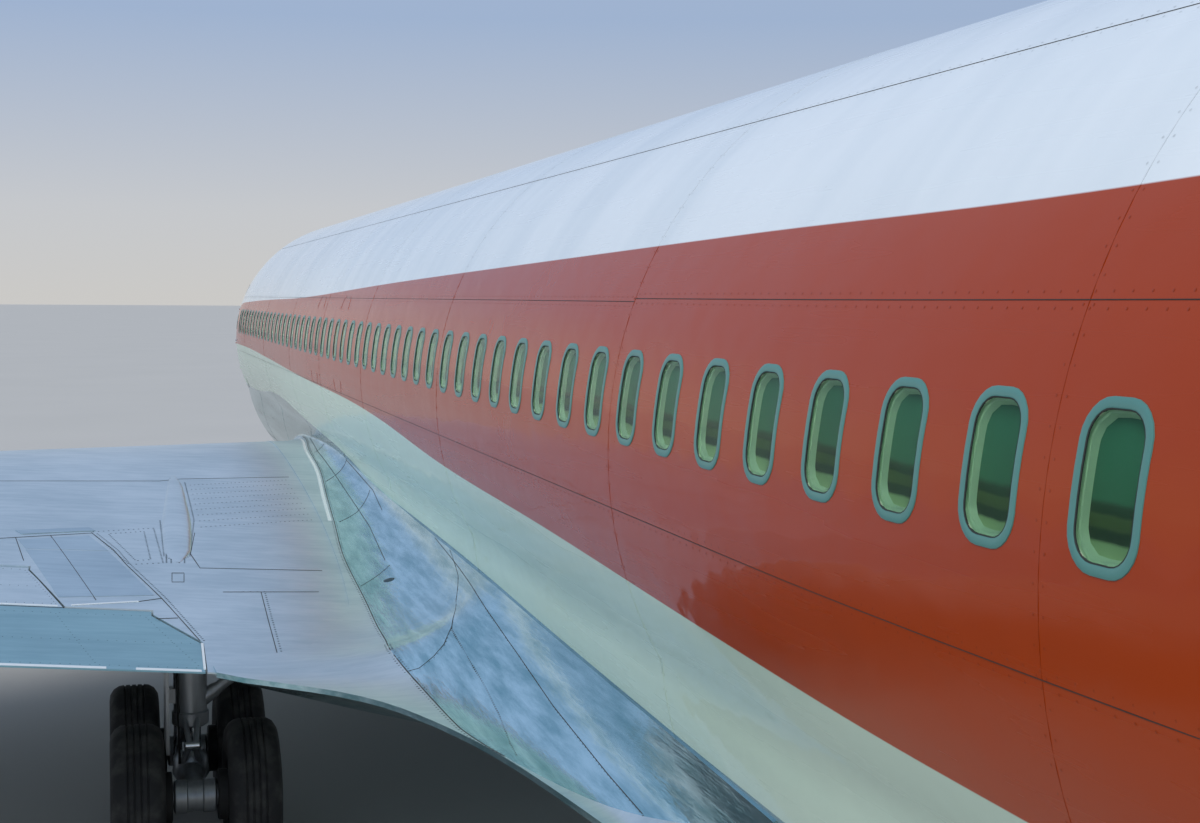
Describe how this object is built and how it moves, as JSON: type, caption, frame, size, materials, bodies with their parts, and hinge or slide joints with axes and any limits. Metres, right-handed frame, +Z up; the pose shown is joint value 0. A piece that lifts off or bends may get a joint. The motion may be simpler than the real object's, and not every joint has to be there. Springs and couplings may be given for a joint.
{
  "type": "narrow body airliner, four-engined, 1:2 scale model",
  "caption": "Swept-wing narrow body airliner at half size on its gear, with turning wheels and fans, nose steering and hinged control surfaces.",
  "frame": {"origin": "centre of the bounding box on the ground, between the tyres", "axes": "+X to the aircraft's left, +Y aft along the body (the nose is at -Y), +Z up"},
  "size_m": [22.21, 23.305, 6.465],
  "materials": {
    "white_paint": "gloss",
    "bare_metal": "satin",
    "grey_paint": "satin",
    "radome": "satin",
    "glazing": "gloss",
    "gear_steel": "satin",
    "engine_steel": "satin",
    "tyre": "matte"
  },
  "bodies": {
    "airframe": {"radome": "radome", "nose_section": "white_paint", "cockpit_glazing": "glazing", "forward_fuselage": "white_paint", "centre_fuselage": "white_paint", "aft_fuselage": "white_paint", "tail_section": "white_paint", "door_forward_left": "white_paint", "door_forward_right": "white_paint", "door_aft_left": "white_paint", "door_aft_right": "white_paint", "fin": "white_paint", "nose_leg": "gear_steel", "wing_left": "bare_metal", "fillet_left": "bare_metal", "stabiliser_left": "bare_metal", "main_leg_left": "gear_steel", "pylon_inboard_left": "bare_metal", "cowl_inboard_left": "bare_metal", "engine_inboard_left": "engine_steel", "pylon_outboard_left": "bare_metal", "cowl_outboard_left": "bare_metal", "engine_outboard_left": "engine_steel", "wing_right": "bare_metal", "fillet_right": "bare_metal", "stabiliser_right": "bare_metal", "main_leg_right": "gear_steel", "pylon_inboard_right": "bare_metal", "cowl_inboard_right": "bare_metal", "engine_inboard_right": "engine_steel", "pylon_outboard_right": "bare_metal", "cowl_outboard_right": "bare_metal", "engine_outboard_right": "engine_steel"},
    "rudder": {"rudder": "white_paint"},
    "nose_fork": {"nose_fork": "gear_steel"},
    "nose_wheels": {"nose_wheels": "tyre"},
    "flap_inboard_left": {"flap_inboard_left": "grey_paint"},
    "flap_inboard_right": {"flap_inboard_right": "grey_paint"},
    "flap_outboard_left": {"flap_outboard_left": "grey_paint"},
    "flap_outboard_right": {"flap_outboard_right": "grey_paint"},
    "aileron_inboard_left": {"aileron_inboard_left": "grey_paint"},
    "aileron_inboard_right": {"aileron_inboard_right": "grey_paint"},
    "aileron_outboard_left": {"aileron_outboard_left": "grey_paint"},
    "aileron_outboard_right": {"aileron_outboard_right": "grey_paint"},
    "spoiler_inboard_left": {"spoiler_inboard_left": "grey_paint"},
    "spoiler_inboard_right": {"spoiler_inboard_right": "grey_paint"},
    "spoiler_outboard_left": {"spoiler_outboard_left": "grey_paint"},
    "spoiler_outboard_right": {"spoiler_outboard_right": "grey_paint"},
    "elevator_left": {"elevator_left": "grey_paint"},
    "elevator_right": {"elevator_right": "grey_paint"},
    "fan_inboard_left": {"fan_inboard_left": "engine_steel"},
    "fan_inboard_right": {"fan_inboard_right": "engine_steel"},
    "fan_outboard_left": {"fan_outboard_left": "engine_steel"},
    "fan_outboard_right": {"fan_outboard_right": "engine_steel"},
    "main_wheels_front_left": {"main_wheels_front_left": "tyre"},
    "main_wheels_front_right": {"main_wheels_front_right": "tyre"},
    "main_wheels_rear_left": {"main_wheels_rear_left": "tyre"},
    "main_wheels_rear_right": {"main_wheels_rear_right": "tyre"}
  },
  "joints": [
    {"name": "flap_inboard_left_hinge", "type": "hinge", "parent": "airframe", "child": "flap_inboard_left", "pos_m": [1.87, 0.6975, 1.07323], "axis": [-0.9961, 0, -0.0883], "range_deg": [0, 50]},
    {"name": "flap_inboard_right_hinge", "type": "hinge", "parent": "airframe", "child": "flap_inboard_right", "pos_m": [-1.87, 0.6975, 1.07323], "axis": [-0.9961, 0, 0.0883], "range_deg": [0, 50]},
    {"name": "flap_outboard_left_hinge", "type": "hinge", "parent": "airframe", "child": "flap_outboard_left", "pos_m": [4.95, 1.0325, 1.3722], "axis": [-0.8961, -0.429, -0.1143], "range_deg": [0, 50]},
    {"name": "flap_outboard_right_hinge", "type": "hinge", "parent": "airframe", "child": "flap_outboard_right", "pos_m": [-4.95, 1.0325, 1.3722], "axis": [-0.8961, 0.429, 0.1143], "range_deg": [0, 50]},
    {"name": "aileron_inboard_left_hinge", "type": "hinge", "parent": "airframe", "child": "aileron_inboard_left", "pos_m": [4.005, 0.6975, 1.30684], "axis": [-0.9935, 0, -0.1138], "range_deg": [-18, 18]},
    {"name": "aileron_inboard_right_hinge", "type": "hinge", "parent": "airframe", "child": "aileron_inboard_right", "pos_m": [-4.005, 0.6975, 1.30684], "axis": [-0.9935, 0, 0.1138], "range_deg": [-18, 18]},
    {"name": "aileron_outboard_left_hinge", "type": "hinge", "parent": "airframe", "child": "aileron_outboard_left", "pos_m": [7.6, 2.3225, 1.74593], "axis": [-0.8969, -0.428, -0.1114], "range_deg": [-18, 18]},
    {"name": "aileron_outboard_right_hinge", "type": "hinge", "parent": "airframe", "child": "aileron_outboard_right", "pos_m": [-7.6, 2.3225, 1.74593], "axis": [-0.8969, 0.428, 0.1114], "range_deg": [-18, 18]},
    {"name": "spoiler_inboard_left_hinge", "type": "hinge", "parent": "airframe", "child": "spoiler_inboard_left", "pos_m": [2.28, 0.1675, 1.25851], "axis": [0.9966, 0, 0.0822], "range_deg": [0, 60]},
    {"name": "spoiler_inboard_right_hinge", "type": "hinge", "parent": "airframe", "child": "spoiler_inboard_right", "pos_m": [-2.28, 0.1675, 1.25851], "axis": [0.9966, 0, -0.0822], "range_deg": [0, 60]},
    {"name": "spoiler_outboard_left_hinge", "type": "hinge", "parent": "airframe", "child": "spoiler_outboard_left", "pos_m": [5.125, 0.5575, 1.53336], "axis": [0.8968, 0.43, 0.104], "range_deg": [0, 60]},
    {"name": "spoiler_outboard_right_hinge", "type": "hinge", "parent": "airframe", "child": "spoiler_outboard_right", "pos_m": [-5.125, 0.5575, 1.53336], "axis": [0.8968, -0.43, -0.104], "range_deg": [0, 60]},
    {"name": "elevator_left_hinge", "type": "hinge", "parent": "airframe", "child": "elevator_left", "pos_m": [0.675, 9.7375, 2.23762], "axis": [0.8661, 0.4885, 0.1063], "range_deg": [-15, 25]},
    {"name": "elevator_right_hinge", "type": "hinge", "parent": "airframe", "child": "elevator_right", "pos_m": [-0.675, 9.7375, 2.23762], "axis": [0.8661, -0.4885, -0.1063], "range_deg": [-15, 25]},
    {"name": "rudder_hinge", "type": "hinge", "parent": "airframe", "child": "rudder", "pos_m": [0, 9.0725, 3.01], "axis": [0, 0.3799, 0.925], "range_deg": [-25, 25]},
    {"name": "fan_inboard_left_spin", "type": "hinge", "parent": "airframe", "child": "fan_inboard_left", "pos_m": [4.15, -4.1025, 0.89], "axis": [0, 1, 0], "continuous": true},
    {"name": "fan_inboard_right_spin", "type": "hinge", "parent": "airframe", "child": "fan_inboard_right", "pos_m": [-4.15, -4.1025, 0.89], "axis": [0, 1, 0], "continuous": true},
    {"name": "fan_outboard_left_spin", "type": "hinge", "parent": "airframe", "child": "fan_outboard_left", "pos_m": [7.15, -1.7775, 1.165], "axis": [0, 1, 0], "continuous": true},
    {"name": "fan_outboard_right_spin", "type": "hinge", "parent": "airframe", "child": "fan_outboard_right", "pos_m": [-7.15, -1.7775, 1.165], "axis": [0, 1, 0], "continuous": true},
    {"name": "main_wheels_front_left_spin", "type": "hinge", "parent": "airframe", "child": "main_wheels_front_left", "pos_m": [1.6825, -0.8575, 0.2925], "axis": [1, 0, 0], "continuous": true},
    {"name": "main_wheels_front_right_spin", "type": "hinge", "parent": "airframe", "child": "main_wheels_front_right", "pos_m": [-1.6825, -0.8575, 0.2925], "axis": [1, 0, 0], "continuous": true},
    {"name": "main_wheels_rear_left_spin", "type": "hinge", "parent": "airframe", "child": "main_wheels_rear_left", "pos_m": [1.6825, -0.1475, 0.2925], "axis": [1, 0, 0], "continuous": true},
    {"name": "main_wheels_rear_right_spin", "type": "hinge", "parent": "airframe", "child": "main_wheels_rear_right", "pos_m": [-1.6825, -0.1475, 0.2925], "axis": [1, 0, 0], "continuous": true},
    {"name": "nose_steering", "type": "hinge", "parent": "airframe", "child": "nose_fork", "pos_m": [0, -9.4925, 0.56], "axis": [0, 0, 1], "range_deg": [-55, 55]},
    {"name": "nose_wheels_spin", "type": "hinge", "parent": "nose_fork", "child": "nose_wheels", "pos_m": [0, -9.4925, 0.2475], "axis": [1, 0, 0], "continuous": true}
  ],
  "couplings": [
    {"joint": "flap_inboard_right_hinge", "follows": "flap_inboard_left_hinge", "ratio": 1},
    {"joint": "flap_outboard_left_hinge", "follows": "flap_inboard_left_hinge", "ratio": 1},
    {"joint": "flap_outboard_right_hinge", "follows": "flap_inboard_left_hinge", "ratio": 1},
    {"joint": "aileron_inboard_right_hinge", "follows": "aileron_inboard_left_hinge", "ratio": -1},
    {"joint": "aileron_outboard_left_hinge", "follows": "aileron_inboard_left_hinge", "ratio": 1},
    {"joint": "aileron_outboard_right_hinge", "follows": "aileron_inboard_left_hinge", "ratio": -1},
    {"joint": "spoiler_outboard_left_hinge", "follows": "spoiler_inboard_left_hinge", "ratio": 1},
    {"joint": "spoiler_outboard_right_hinge", "follows": "spoiler_inboard_right_hinge", "ratio": 1},
    {"joint": "elevator_right_hinge", "follows": "elevator_left_hinge", "ratio": 1}
  ]
}
